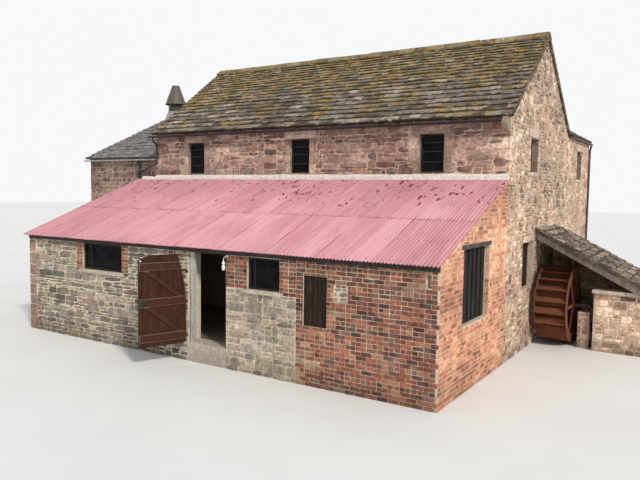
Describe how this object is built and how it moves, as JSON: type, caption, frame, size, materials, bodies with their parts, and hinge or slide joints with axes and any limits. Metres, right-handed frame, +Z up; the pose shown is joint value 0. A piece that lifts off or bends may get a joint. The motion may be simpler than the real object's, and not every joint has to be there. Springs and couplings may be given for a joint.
{
  "type": "watermill",
  "caption": "Stone watermill with slate roof, kiln with cowl, rear wing, corrugated lean-to with a swinging door, and a turning iron water wheel under its own roof.",
  "frame": {"origin": "middle of the mill's front wall, on its underside at ground level", "axes": "+X along the long front towards the wheelhouse, +Y into the building, +Z up"},
  "size_m": [18.3202, 14.2938, 7.8769],
  "materials": {
    "red_sandstone": "rough, weathered",
    "buff_sandstone": "rough, weathered",
    "grey_rubble": "rough, lime pointed",
    "red_brick": "rough, lime pointed",
    "stone_slate": "rough, mossy",
    "grey_slate": "matt",
    "dressed_stone": "rough",
    "lime_mortar": "matt",
    "faded_red_iron": "chalky paint with rust",
    "dark_iron": "matt black paint",
    "rusty_iron": "rusted",
    "brown_boards": "painted, worn",
    "weathered_wood": "bare, weathered",
    "black_wood": "tarred",
    "white_wood": "painted, worn",
    "lamp_white": "gloss paint",
    "pale_lead": "weathered",
    "brown_iron": "matt paint",
    "window_glass": "clear"
  },
  "bodies": {
    "mill": {"front_wall": "red_sandstone", "rear_wall": "red_sandstone", "left_gable": "red_sandstone", "kiln_walls": "red_sandstone", "right_gable": "buff_sandstone", "wing_walls": "buff_sandstone", "wheelhouse_walls": "buff_sandstone", "lean_to_end_wall": "grey_rubble", "stone_wall_left": "grey_rubble", "stone_wall_middle": "grey_rubble", "brick_wall": "red_brick", "brick_side_wall": "red_brick", "roof_front": "stone_slate", "roof_rear": "stone_slate", "ridge_stones": "stone_slate", "wheelhouse_roof": "stone_slate", "kiln_roof": "grey_slate", "wing_roof": "grey_slate", "window_sills": "dressed_stone", "threshold": "dressed_stone", "ground_floor": "dressed_stone", "window_surrounds": "dressed_stone", "wheelhouse_coping": "dressed_stone", "lime_fillet": "lime_mortar", "corrugated_roof": "faded_red_iron", "kiln_cowl": "dark_iron", "kiln_drum": "dark_iron", "rainwater_pipes": "dark_iron", "wheel_bearings": "dark_iron", "hinge_hooks": "dark_iron", "hatch_boards": "brown_boards", "slatted_boards": "weathered_wood", "lintels": "weathered_wood", "upper_floor": "weathered_wood", "wheelhouse_rafter": "weathered_wood", "eaves_board": "black_wood", "window_frames": "black_wood", "door_posts": "white_wood", "lamp": "lamp_white", "kiln_gutter": "pale_lead", "wing_rainwater": "brown_iron", "window_glass": "window_glass"},
    "door": {"door_leaf": "brown_boards", "door_ledges": "brown_boards", "door_irons": "dark_iron"},
    "wheel": {"wheel_rims": "rusty_iron", "wheel_buckets": "rusty_iron", "wheel_arms": "rusty_iron", "wheel_axle": "rusty_iron"}
  },
  "joints": [
    {"name": "door_hinge", "type": "hinge", "parent": "mill", "child": "door", "pos_m": [-0.403, -4.13, 0.44], "axis": [0, 0, 1], "range_deg": [-60, 110]},
    {"name": "wheel_turn", "type": "hinge", "parent": "mill", "child": "wheel", "pos_m": [5.96, 2.68, 1.02], "axis": [1, 0, 0], "continuous": true}
  ]
}
